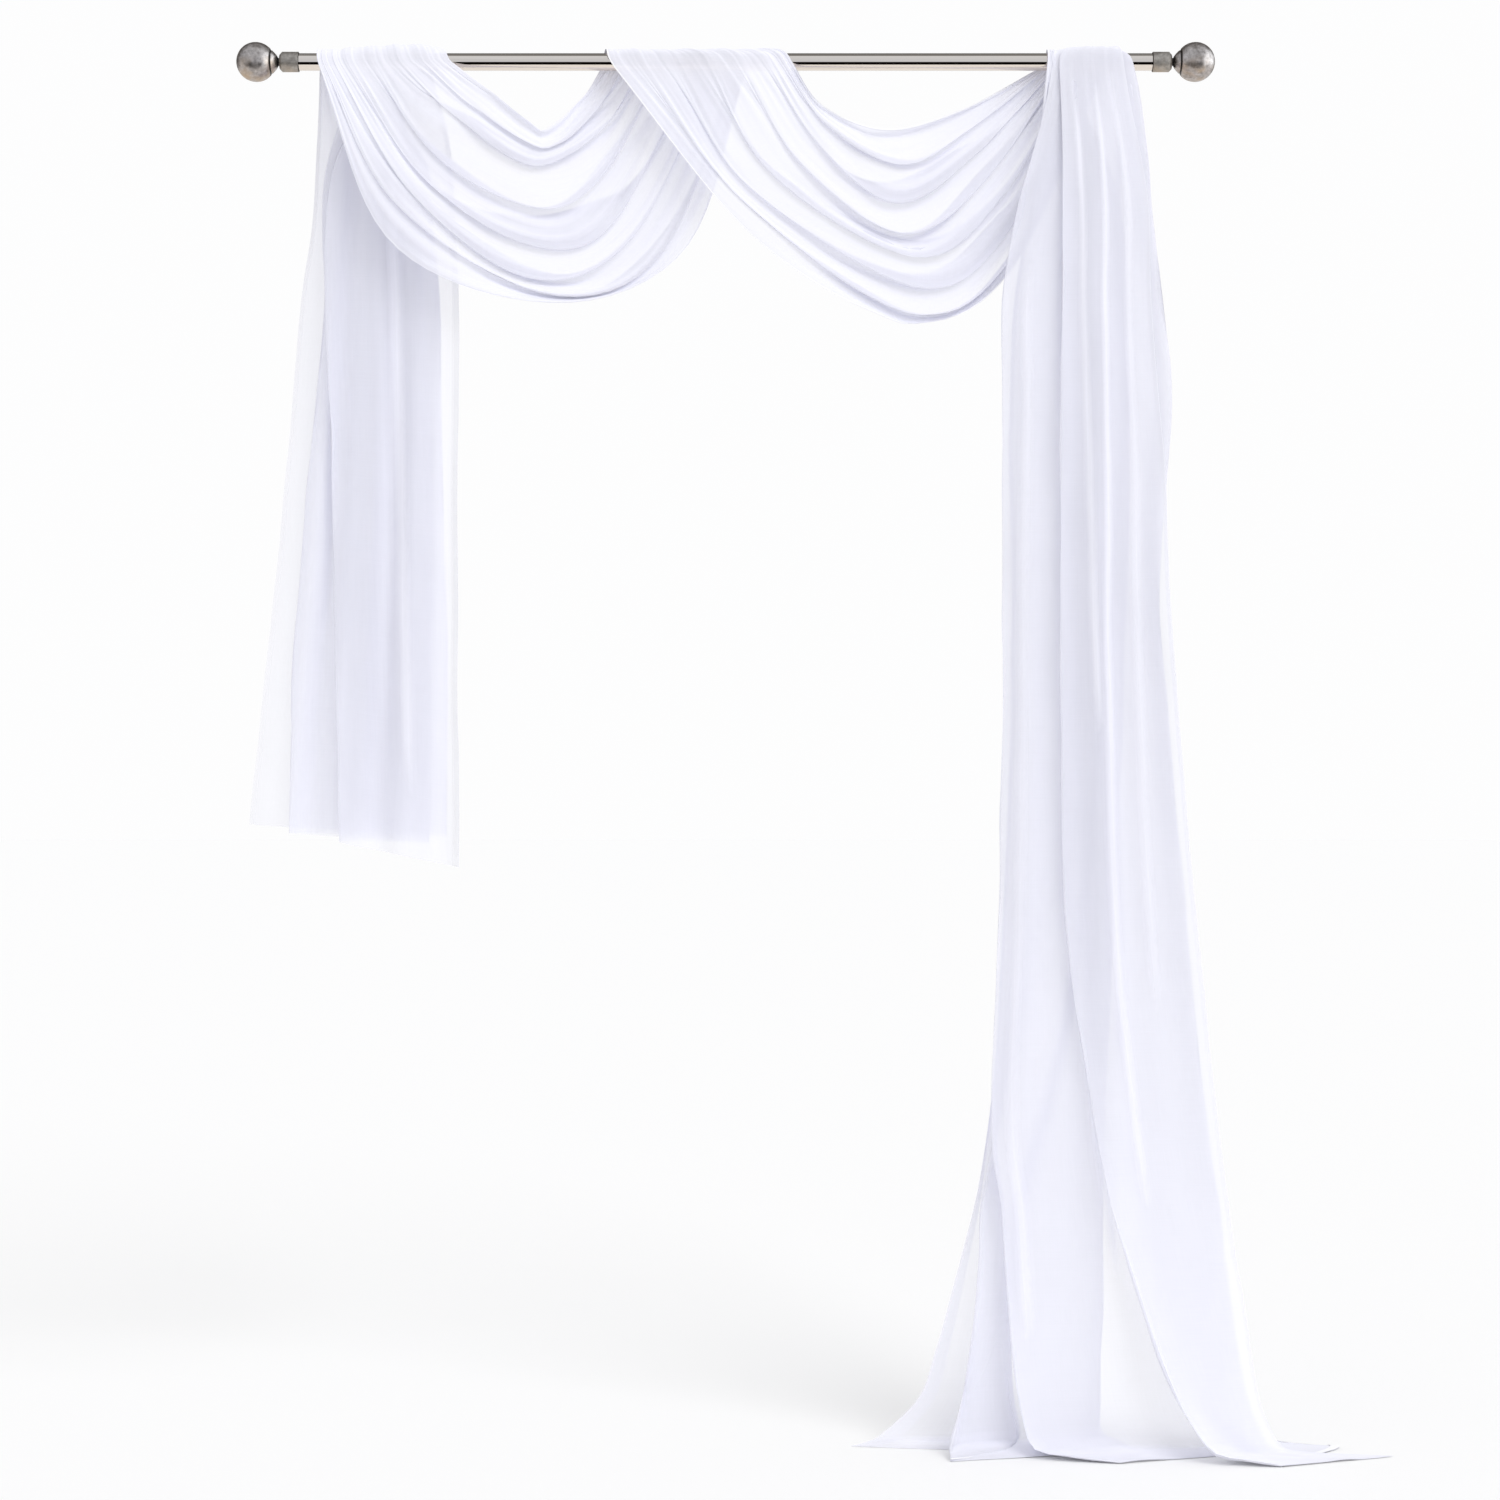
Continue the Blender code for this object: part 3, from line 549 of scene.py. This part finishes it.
def crease_profile(line, place):
    """Height of the creases, in metres, and their share, from 0 to 1, over the grid."""
    height = np.zeros((len(place), len(line)))
    share = np.zeros_like(height)
    for row in CREASES:
        crease = dict(zip(CREASE_COLUMNS, row))
        run = np.clip((place - crease["start"]) / (crease["end"] - crease["start"]), 0, 1)
        middle = crease["line"] + crease["drift"] * run
        fade_in = np.clip((place - crease["start"]) / CREASE_FADE, 0, 1)
        fade_out = np.clip((crease["end"] - place) / CREASE_FADE, 0, 1)
        shape = np.exp(-((line[None, :] - middle[:, None]) / crease["width"]) ** 2)
        shape = shape * (fade_in * fade_out)[:, None]
        height += crease["height"] * MM * shape
        share = np.maximum(share, shape)
    return height, share


def picked_rows(points, place):
    """Numbers of the rows kept: close together near the rod, further apart elsewhere."""
    axis_distance = np.linalg.norm(points[:, :, 1:], axis=2).mean(axis=1)
    keep = [0]
    for index in range(1, len(place)):
        wanted = CLOSE_ROWS if axis_distance[index] < NEAR_ROD else WIDE_ROWS
        if place[index] - place[keep[-1]] >= wanted - SLACK:
            keep.append(index)
    if keep[-1] != len(place) - 1:
        keep.append(len(place) - 1)
    return keep


def grid_faces(row_count, column_count):
    """Quads of a grid, row by row."""
    corner = np.arange(row_count * column_count).reshape(row_count, column_count)
    quads = np.stack((corner[:-1, :-1], corner[1:, :-1], corner[1:, 1:], corner[:-1, 1:]), axis=2)
    return quads.reshape(-1, 4)


def new_object(name, mesh):
    """A mesh, shaded smooth, as an object in the scene."""
    mesh.shade_smooth()
    piece = bpy.data.objects.new(name, mesh)
    bpy.context.scene.collection.objects.link(piece)
    return piece


def cloth_object(name, points, faces, uv, cover):
    """Points and faces as a piece, with their cloth coordinates and their cover."""
    mesh = bpy.data.meshes.new(name)
    mesh.from_pydata(points.tolist(), [], faces.tolist())
    layer = mesh.uv_layers.new(name="cloth")
    layer.data.foreach_set("uv", uv[faces.ravel()].ravel())
    held = mesh.attributes.new("cover", "FLOAT", "POINT")
    held.data.foreach_set("value", cover)
    return new_object(name, mesh)


def gathered(points, line):
    """How many times its flat width the cloth is gathered into, from place to place."""
    flat = np.gradient(line) / LINE_COUNT * FLAT_WIDTH
    spacing = np.linalg.norm(np.gradient(points, axis=1), axis=2)
    reach = SAMPLES_PER_LINE
    kernel = np.hanning(2 * reach + 1)
    kernel /= kernel.sum()
    padded = np.pad(spacing / flat[None, :], ((0, 0), (reach, reach)), mode="edge")
    width = sum(w * padded[:, k:k + len(line)] for k, w in enumerate(kernel))
    return np.clip(1 / np.maximum(width, LEAST_WIDTH), 1.0, MOST_GATHERED)


def cover_of(points, layers):
    """How much the cloth hides: more where it is seen edge on in a fold."""
    facing = np.maximum(np.abs(normals_of(points)[:, :, 1]), LEAST_FACING)
    return 1 - (1 - LAYER_COVER) ** (layers / facing)


def make_scarf():
    """The sheer sheet, with its hems as doubled strips of the same cloth."""
    hem_line = HEM_WIDTH / FLAT_WIDTH * LINE_COUNT
    line = np.linspace(0, LINE_COUNT, LINE_COUNT * SAMPLES_PER_LINE + 1)
    line = np.sort(np.append(line, (hem_line, LINE_COUNT - hem_line)))
    rows, place = even_rows(scarf_rows(line), ROW_STEP)
    rows = smoothed(rows, SMOOTH_LENGTH / ROW_STEP)
    rows = gather_and_wrinkle(rows, line, place)
    crease_height, crease_share = crease_profile(line, place)
    rows = rows + normals_of(rows) * crease_height[:, :, None]
    rows[:, :, 2] = np.maximum(rows[:, :, 2], FLOOR + FLOOR_GAP)
    keep = picked_rows(rows, place)
    points = rows[keep]
    place = place[keep]
    flat = np.broadcast_arrays(line[None, :] / LINE_COUNT * FLAT_WIDTH, place[:, None])
    uv = np.stack(flat, axis=2)
    layers = gathered(points, line) * (1 + CREASE_LAYERS * crease_share[keep])
    scarf = cloth_object(
        "scarf_sheet", points.reshape(-1, 3), grid_faces(len(place), len(line)),
        uv.reshape(-1, 2), cover_of(points, layers).ravel()
    )
    return scarf, make_hem(points, uv, line, place, cover_of(points, HEM_LAYERS * layers))


def make_hem(points, uv, line, place, cover):
    """The turned-in strip along all four edges, lying against the sheet's back."""
    behind = points - normals_of(points) * HEM_BEHIND
    hem_line = HEM_WIDTH / FLAT_WIDTH * LINE_COUNT
    left = line <= hem_line + SLACK
    right = line >= LINE_COUNT - hem_line - SLACK
    first = place <= HEM_WIDTH + SLACK
    last = place >= place[-1] - HEM_END_REACH
    down = np.ones(len(place), bool)
    across = np.ones(len(line), bool)
    parts = {"points": [], "faces": [], "uv": [], "cover": []}
    for rows_in, columns_in in ((down, left), (down, right), (first, across), (last, across)):
        strip = behind[rows_in][:, columns_in]
        start = sum(len(points) for points in parts["points"])
        parts["points"].append(strip.reshape(-1, 3))
        parts["faces"].append(grid_faces(*strip.shape[:2]) + start)
        parts["uv"].append(uv[rows_in][:, columns_in].reshape(-1, 2))
        parts["cover"].append(cover[rows_in][:, columns_in].ravel())
    return cloth_object("scarf_hem", **{name: np.concatenate(rows) for name, rows in parts.items()})


def node(tree, kind, **settings):
    """A new shader node with its properties and its sockets' values."""
    new = tree.nodes.new(kind)
    for key, value in settings.items():
        if key in new.inputs:
            new.inputs[key].default_value = value
        else:
            setattr(new, key, value)
    return new


def new_material(name):
    """A material with its node tree and its shader."""
    material = bpy.data.materials.new(name)
    material.use_nodes = True
    return material, material.node_tree, material.node_tree.nodes["Principled BSDF"]


def voile_material(name, colour):
    """Sheer voile: uneven threads both ways, denser in folds and hems."""
    material, tree, shader = new_material(name)
    shader.inputs["Base Color"].default_value = (*colour, 1.0)
    shader.inputs["Roughness"].default_value = 0.75
    shader.inputs["Specular IOR Level"].default_value = 0.2
    shader.inputs["Sheen Weight"].default_value = 0.15
    shader.inputs["Sheen Roughness"].default_value = 0.5
    place = node(tree, "ShaderNodeUVMap", uv_map="cloth")
    threads = []
    for stretch in THREAD_STRETCHES:
        scale = node(tree, "ShaderNodeVectorMath", operation="MULTIPLY")
        scale.inputs[1].default_value = stretch
        tree.links.new(place.outputs["UV"], scale.inputs[0])
        noise = node(tree, "ShaderNodeTexNoise", Scale=1.0, Detail=2.0, Roughness=0.5)
        tree.links.new(scale.outputs[0], noise.inputs["Vector"])
        threads.append(noise)
    both = node(tree, "ShaderNodeMath", operation="ADD")
    tree.links.new(threads[0].outputs["Fac"], both.inputs[0])
    tree.links.new(threads[1].outputs["Fac"], both.inputs[1])
    spread = node(tree, "ShaderNodeMapRange")
    spread.inputs["From Min"].default_value = 0.7
    spread.inputs["From Max"].default_value = 1.3
    spread.inputs["To Min"].default_value = THREAD_SPREAD[0]
    spread.inputs["To Max"].default_value = THREAD_SPREAD[1]
    tree.links.new(both.outputs[0], spread.inputs["Value"])
    cover = node(tree, "ShaderNodeAttribute", attribute_name="cover")
    alpha = node(tree, "ShaderNodeMath", operation="MULTIPLY", use_clamp=True)
    tree.links.new(cover.outputs["Fac"], alpha.inputs[0])
    tree.links.new(spread.outputs["Result"], alpha.inputs[1])
    tree.links.new(alpha.outputs[0], shader.inputs["Alpha"])
    return material


def mapped(tree, source, low, high):
    """A socket's 0 to 1 moved to a range of its own."""
    move = node(tree, "ShaderNodeMapRange")
    move.inputs["To Min"].default_value = low
    move.inputs["To Max"].default_value = high
    tree.links.new(source, move.inputs["Value"])
    return move.outputs["Result"]


def shared(tree, source, low, high):
    """How far a socket's value lies from one limit to the other, from 0 to 1."""
    move = node(tree, "ShaderNodeMapRange")
    move.inputs["From Min"].default_value = low
    move.inputs["From Max"].default_value = high
    tree.links.new(source, move.inputs["Value"])
    return move.outputs["Result"]


def mixed(tree, factor, first, second):
    """Two colours mixed by a socket: each is a socket or a plain colour."""
    mix = node(tree, "ShaderNodeMix", data_type="RGBA")
    tree.links.new(factor, mix.inputs["Factor"])
    for index, colour in ((6, first), (7, second)):
        if isinstance(colour, tuple):
            mix.inputs[index].default_value = colour
        else:
            tree.links.new(colour, mix.inputs[index])
    return mix.outputs[2]


def colour_ramp(tree, source, stops):
    """Colours along a socket's value."""
    ramp = node(tree, "ShaderNodeValToRGB")
    while len(ramp.color_ramp.elements) < len(stops):
        ramp.color_ramp.elements.new(0.5)
    for element, (position, colour) in zip(ramp.color_ramp.elements, stops):
        element.position = position
        element.color = (*colour, 1.0)
    tree.links.new(source, ramp.inputs["Fac"])
    return ramp.outputs["Color"]


def nickel_material():
    """Polished nickel rod, with faint lines of the drawing die along it."""
    material, tree, shader = new_material("brushed_nickel")
    shader.inputs["Metallic"].default_value = 1.0
    spot = node(tree, "ShaderNodeTexCoord")
    stretch = node(tree, "ShaderNodeVectorMath", operation="MULTIPLY")
    stretch.inputs[1].default_value = NICKEL_STRETCH
    tree.links.new(spot.outputs["Object"], stretch.inputs[0])
    lines = node(tree, "ShaderNodeTexNoise", Scale=1.0, Detail=3.0, Roughness=0.6)
    tree.links.new(stretch.outputs[0], lines.inputs["Vector"])
    tint = colour_ramp(tree, lines.outputs["Fac"], NICKEL_LINES)
    tree.links.new(tint, shader.inputs["Base Color"])
    rough = mapped(tree, lines.outputs["Fac"], *NICKEL_ROUGHNESS)
    tree.links.new(rough, shader.inputs["Roughness"])
    return material


def pewter_material(name, dark, light, warm, roughness):
    """Antique pewter: mottled grey, painted warm floor reflection in patches below, painted shade
    in grooves, neck and joins.
    """
    material, tree, shader = new_material(name)
    shader.inputs["Metallic"].default_value = 0.85
    spot = node(tree, "ShaderNodeTexCoord")
    mottle = node(tree, "ShaderNodeTexNoise", Scale=150.0, Detail=6.0, Roughness=0.7)
    tree.links.new(spot.outputs["Object"], mottle.inputs["Vector"])
    patches = node(tree, "ShaderNodeTexNoise", Scale=38.0, Detail=2.0, Roughness=0.5)
    tree.links.new(spot.outputs["Object"], patches.inputs["Vector"])
    greys = colour_ramp(tree, mottle.outputs["Fac"], ((0.32, dark), (0.68, light)))
    height = node(tree, "ShaderNodeSeparateXYZ")
    tree.links.new(spot.outputs["Object"], height.inputs[0])
    # Painted reflection of a warm floor: warm patches that come in only on the underside
    floor_reflection = node(tree, "ShaderNodeMath", operation="MULTIPLY")
    tree.links.new(mapped(tree, patches.outputs["Fac"], *REFLECTION_PATCH_RANGE), floor_reflection.inputs[0])
    tree.links.new(shared(tree, height.outputs["Z"], *WARM_REFLECTION_UNDER), floor_reflection.inputs[1])
    with_reflection = mixed(tree, floor_reflection.outputs[0], greys, (*warm, 1.0))
    # Painted shade: darker in the grooves, necks and joins that the pieces mark
    recess_shade = node(tree, "ShaderNodeAttribute", attribute_name="recess_shade")
    with_painted_shade = mixed(tree, recess_shade.outputs["Fac"], with_reflection, PAINTED_SHADE_COLOUR)
    tree.links.new(with_painted_shade, shader.inputs["Base Color"])
    matt = mapped(tree, mottle.outputs["Fac"], roughness - 0.1, roughness + 0.1)
    tree.links.new(matt, shader.inputs["Roughness"])
    bump = node(tree, "ShaderNodeBump", Strength=0.25, Distance=0.0003)
    tree.links.new(mottle.outputs["Fac"], bump.inputs["Height"])
    tree.links.new(bump.outputs["Normal"], shader.inputs["Normal"])
    return material


def turned(name, profile, start, side):
    """A piece turned about the rod's axis: a profile of distance out, radius and painted shade."""
    angles = np.linspace(0, 2 * math.pi, TURN_STEPS, endpoint=False)
    rings = np.array([
        [(start + side * out, radius * math.cos(a), radius * math.sin(a)) for a in angles]
        for out, radius, _ in profile
    ])
    corner = np.arange(len(profile) * TURN_STEPS).reshape(len(profile), TURN_STEPS)
    ahead = np.roll(corner, -1, axis=1)
    quads = np.stack((corner[:-1], ahead[:-1], ahead[1:], corner[1:]), axis=2).reshape(-1, 4)
    if side > 0:
        quads = quads[:, ::-1]
    mesh = bpy.data.meshes.new(name)
    mesh.from_pydata(rings.reshape(-1, 3).tolist(), [], quads.tolist() + [
        corner[0].tolist()[::side], corner[-1].tolist()[::-side]
    ])
    # Painted shade of each ring, which darkens the metal's colour there
    held = mesh.attributes.new("recess_shade", "FLOAT", "POINT")
    held.data.foreach_set("value", np.repeat([row[2] for row in profile], TURN_STEPS))
    piece = new_object(name, mesh)
    mesh.set_sharp_from_angle(angle=math.radians(SHARP_ANGLE))
    return piece


def cap_profile():
    """End cap from the rod outwards, with softened edges, a chamfer at its far end and painted
    shade at both ends.
    """
    return (
        (0.0, ROD_RADIUS - CAP_LAP, 0.9),
        (0.0, CAP_RADIUS - EDGE, 0.5),
        (EDGE, CAP_RADIUS, 0.05),
        (CAP_SHADE_GONE, CAP_RADIUS, 0.0),
        (CAP_LENGTH - CAP_CHAMFER - EDGE, CAP_RADIUS, 0.0),
        (CAP_LENGTH - CAP_CHAMFER, CAP_RADIUS - EDGE / 2, 0.05),
        (CAP_LENGTH - EDGE, CAP_RADIUS - CAP_CHAMFER, 0.25),
        (CAP_LENGTH, CAP_RADIUS - CAP_CHAMFER - EDGE, 0.8),
        (CAP_LENGTH, CAP_EYE, 1.0),
    )


def finial_profile():
    """Finial from the cap outwards: neck, shoulder, a ring groove, then the ball."""
    column = dict(zip(SHOULDER_COLUMNS, np.asarray(SHOULDER, float).T * MM))
    start = column["height"][-1]
    start_radius = column["radius"][-1]
    centre = start + math.sqrt(BALL_RADIUS**2 - start_radius**2)
    outs = np.linspace(column["height"][0], start, SHOULDER_STEPS)[:-1]
    radii = curve_through(column["height"], column["radius"], outs)
    angles = np.linspace(math.asin(start_radius / BALL_RADIUS), math.pi - BALL_TIP, BALL_STEPS)
    outs = np.concatenate((outs, centre - BALL_RADIUS * np.cos(angles)))
    radii = np.concatenate((radii, BALL_RADIUS * np.sin(angles)))
    # Painted shade: dark in the ring groove and in the neck next to the cap
    groove = np.exp(-(((outs - start) / RING_WIDTH) ** 4))
    painted_shade = np.clip((PAINTED_SHADE_END - outs) / PAINTED_SHADE_FADE, 0, 1)
    rows = list(zip(outs, radii - RING_DEPTH * groove, np.maximum(groove, painted_shade)))
    return [(0.0, column["radius"][0], 1.0)] + rows


def make_metal():
    """Rod, caps and finials in the places of their nodes, with finer edges."""
    rod = turned("rod_fine", (
        (PIECE_GAP, ROD_RADIUS - EDGE, 0.0), (PIECE_GAP + EDGE, ROD_RADIUS, 0.0),
        (ROD_RIGHT - ROD_LEFT - PIECE_GAP - EDGE, ROD_RADIUS, 0.0),
        (ROD_RIGHT - ROD_LEFT - PIECE_GAP, ROD_RADIUS - EDGE, 0.0),
    ), ROD_LEFT, 1)
    set_material(rod, nickel_material())
    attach(rod, "root")
    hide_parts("rod")
    cap_pewter = pewter_material("cap_pewter", *CAP_PEWTER)
    ball_pewter = pewter_material("ball_pewter", *BALL_PEWTER)
    for side, word, end in ((-1, "left", ROD_LEFT), (1, "right", ROD_RIGHT)):
        cap = turned(f"cap_{word}_fine", cap_profile(), end, side)
        set_material(cap, cap_pewter)
        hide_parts(f"end_cap_{word}")
        cap_face = end + side * (CAP_LENGTH + PIECE_GAP)
        finial = turned(f"finial_{word}_fine", finial_profile(), cap_face, side)
        set_material(finial, ball_pewter)
        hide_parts(f"finial_{word}")
        for piece in (cap, finial):
            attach(piece, "root")


def set_material(piece, material):
    """Gives a piece one material."""
    piece.data.materials.clear()
    piece.data.materials.append(material)


def make_floor(scene):
    """A plain pale floor."""
    floor_mesh = bpy.data.meshes.new("floor")
    corners = [
        (-FLOOR_REACH, FLOOR_FRONT, FLOOR), (FLOOR_REACH, FLOOR_FRONT, FLOOR),
        (FLOOR_REACH, FLOOR_REACH, FLOOR), (-FLOOR_REACH, FLOOR_REACH, FLOOR),
    ]
    floor_mesh.from_pydata(corners, [], [(0, 1, 2, 3)])
    floor = bpy.data.objects.new("floor", floor_mesh)
    scene.collection.objects.link(floor)
    material, _, shader = new_material("pale_floor")
    shader.inputs["Base Color"].default_value = FLOOR_COLOUR
    shader.inputs["Roughness"].default_value = 0.95
    shader.inputs["Specular IOR Level"].default_value = 0.0
    set_material(floor, material)


def make_sun(scene):
    """One soft sun from the front right, which the metal doesn't mirror."""
    sun = bpy.data.lights.new("key", "SUN")
    sun.energy = SUN_ENERGY
    sun.angle = math.radians(SUN_SPREAD)
    key = bpy.data.objects.new("key", sun)
    key.rotation_euler = (math.radians(SUN_TILT), 0.0, math.radians(SUN_TURN))
    key.visible_glossy = False
    scene.collection.objects.link(key)


def make_sky(scene):
    """An even sky, lighter where the camera sees it, and what the metal mirrors."""
    world = bpy.data.worlds.new("studio")
    scene.world = world
    world.use_nodes = True
    tree = world.node_tree
    tree.nodes.clear()
    out = node(tree, "ShaderNodeOutputWorld")
    plain = node(tree, "ShaderNodeBackground", Strength=1.0)
    plain.inputs["Color"].default_value = SKY_COLOUR
    backdrop = node(tree, "ShaderNodeBackground", Strength=1.0)
    backdrop.inputs["Color"].default_value = BACKDROP_COLOUR
    mirrored = node(tree, "ShaderNodeBackground", Strength=1.0)
    spot = node(tree, "ShaderNodeTexCoord")
    split = node(tree, "ShaderNodeSeparateXYZ")
    tree.links.new(spot.outputs["Generated"], split.inputs[0])
    level = shared(tree, split.outputs["Z"], -1.0, 1.0)
    before = colour_ramp(tree, level, MIRRORED_BEFORE)
    behind = colour_ramp(tree, level, MIRRORED_BEHIND)
    back = shared(tree, split.outputs["Y"], *BEFORE_TO_BEHIND)
    side = shared(tree, split.outputs["X"], *SIDE_LAMP_EDGE)
    lit = mixed(tree, side, mixed(tree, back, before, behind), SIDE_LAMP)
    tree.links.new(lit, mirrored.inputs["Color"])
    ray = node(tree, "ShaderNodeLightPath")
    seen = node(tree, "ShaderNodeMixShader")
    tree.links.new(ray.outputs["Is Camera Ray"], seen.inputs["Fac"])
    tree.links.new(plain.outputs[0], seen.inputs[1])
    tree.links.new(backdrop.outputs[0], seen.inputs[2])
    mix = node(tree, "ShaderNodeMixShader")
    tree.links.new(ray.outputs["Is Glossy Ray"], mix.inputs["Fac"])
    tree.links.new(seen.outputs[0], mix.inputs[1])
    tree.links.new(mirrored.outputs[0], mix.inputs[2])
    tree.links.new(mix.outputs[0], out.inputs["Surface"])


def make_camera(scene):
    """A level camera at the photo's viewing angle."""
    camera_data = bpy.data.cameras.new("camera")
    camera_data.sensor_width = SENSOR_WIDTH
    camera_data.lens = SENSOR_WIDTH * -CAMERA_PLACE[1] / VIEW_WIDTH
    camera = bpy.data.objects.new("camera", camera_data)
    camera.location = CAMERA_PLACE
    camera.rotation_euler = (math.radians(90), 0.0, 0.0)
    scene.collection.objects.link(camera)
    scene.camera = camera


def main():
    """Builds the stage, the scarf and the metal."""
    scene = bpy.context.scene
    scene.view_settings.view_transform = "Standard"
    scene.cycles.transparent_max_bounces = TRANSPARENT_LAYERS
    for make in (make_floor, make_sun, make_sky, make_camera):
        make(scene)
    scarf, hem = make_scarf()
    set_material(scarf, voile_material("white_voile", SHEET_COLOUR))
    set_material(hem, voile_material("doubled_voile", HEM_COLOUR))
    for piece in (scarf, hem):
        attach(piece, "root")
    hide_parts("scarf")
    make_metal()


main()
